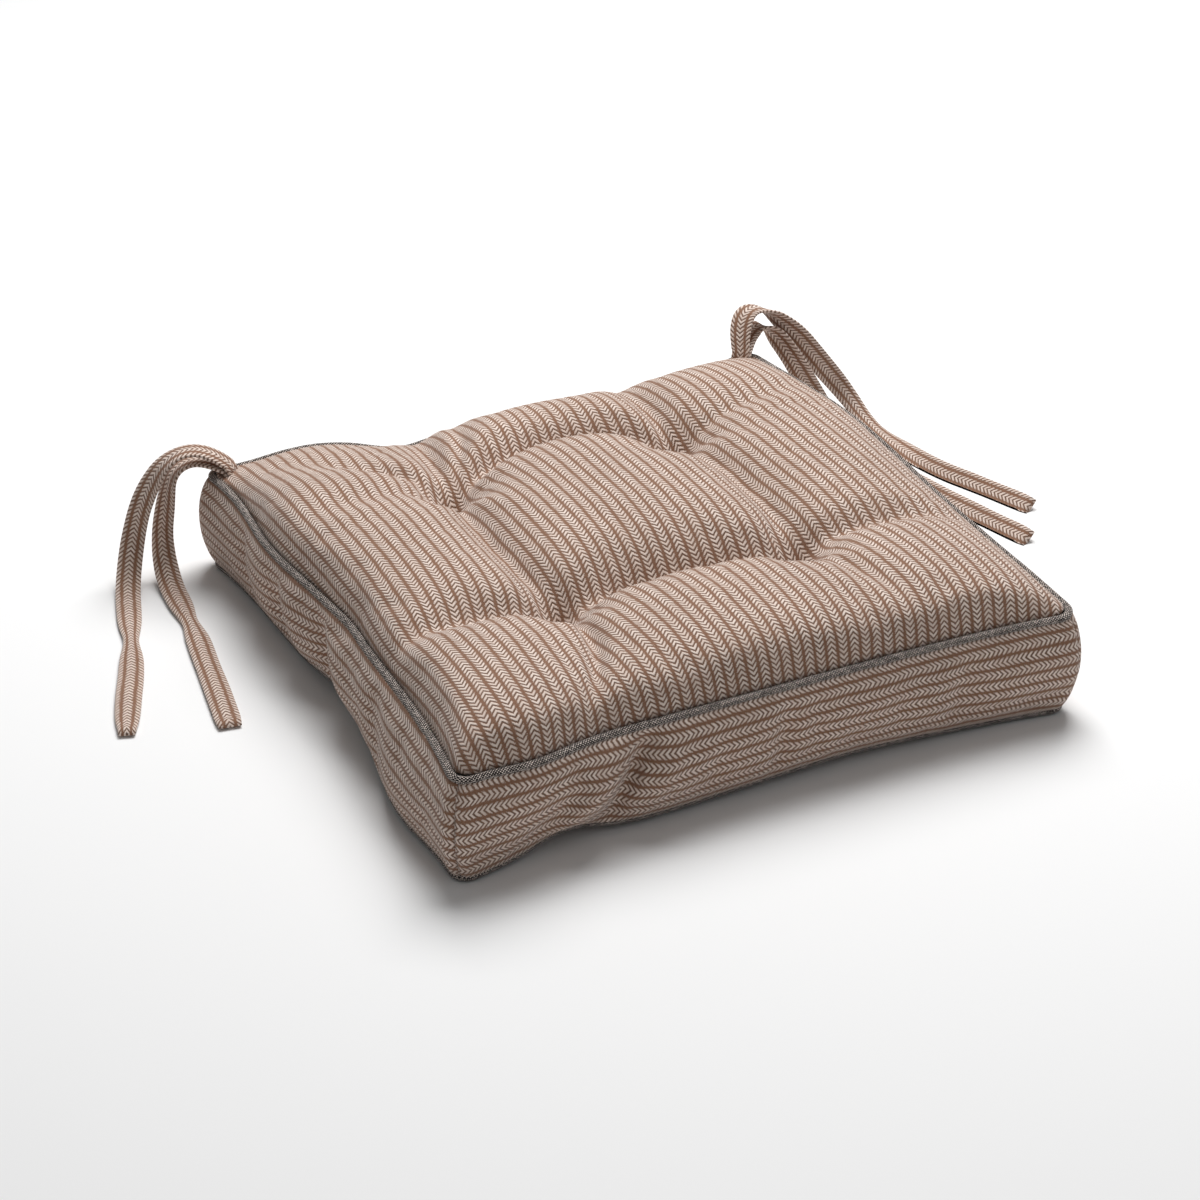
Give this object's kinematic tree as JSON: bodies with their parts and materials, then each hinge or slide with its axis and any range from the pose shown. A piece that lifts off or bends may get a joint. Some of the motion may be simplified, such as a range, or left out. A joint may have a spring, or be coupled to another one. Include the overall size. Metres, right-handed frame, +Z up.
{
  "type": "chair seat pad",
  "caption": "Square tufted box cushion for a chair seat, with piped edges, deep buttonless tufts and pairs of tie straps at the back corners.",
  "frame": {"origin": "centre of the underside of the pad, on the surface it rests on, without its ties", "axes": "+Z up through the pad, -Y towards the front edge, +Y towards the back edge where the ties are, +X to the right seen from the front"},
  "size_m": [0.696, 0.4441, 0.1067],
  "materials": {
    "herringbone": "brushed herringbone stripe, matte",
    "piping_tweed": "dark grey and white fine tweed, matte",
    "filler_cord": "soft cotton cord",
    "fibre": "polyester fibre fill",
    "twine": "waxed twine",
    "thread": "sewing thread"
  },
  "bodies": {
    "root": {"top_panel": "herringbone", "bottom_panel": "herringbone", "front_boxing": "herringbone", "right_boxing": "herringbone", "back_boxing": "herringbone", "left_boxing": "herringbone", "top_piping_cover": "piping_tweed", "bottom_piping_cover": "piping_tweed", "top_piping_cord": "filler_cord", "bottom_piping_cord": "filler_cord", "fibre_fill": "fibre", "tuft_twine_back_right": "twine", "tuft_twine_back_left": "twine", "tuft_twine_front_left": "twine", "tuft_twine_front_right": "twine", "top_seam_thread": "thread", "bottom_seam_thread": "thread", "corner_thread_back_right": "thread", "corner_thread_back_left": "thread", "corner_thread_front_left": "thread", "corner_thread_front_right": "thread", "tie_left_outer": "herringbone", "tie_left_inner": "herringbone", "tie_right_outer": "herringbone", "tie_right_inner": "herringbone"}
  },
  "joints": []
}
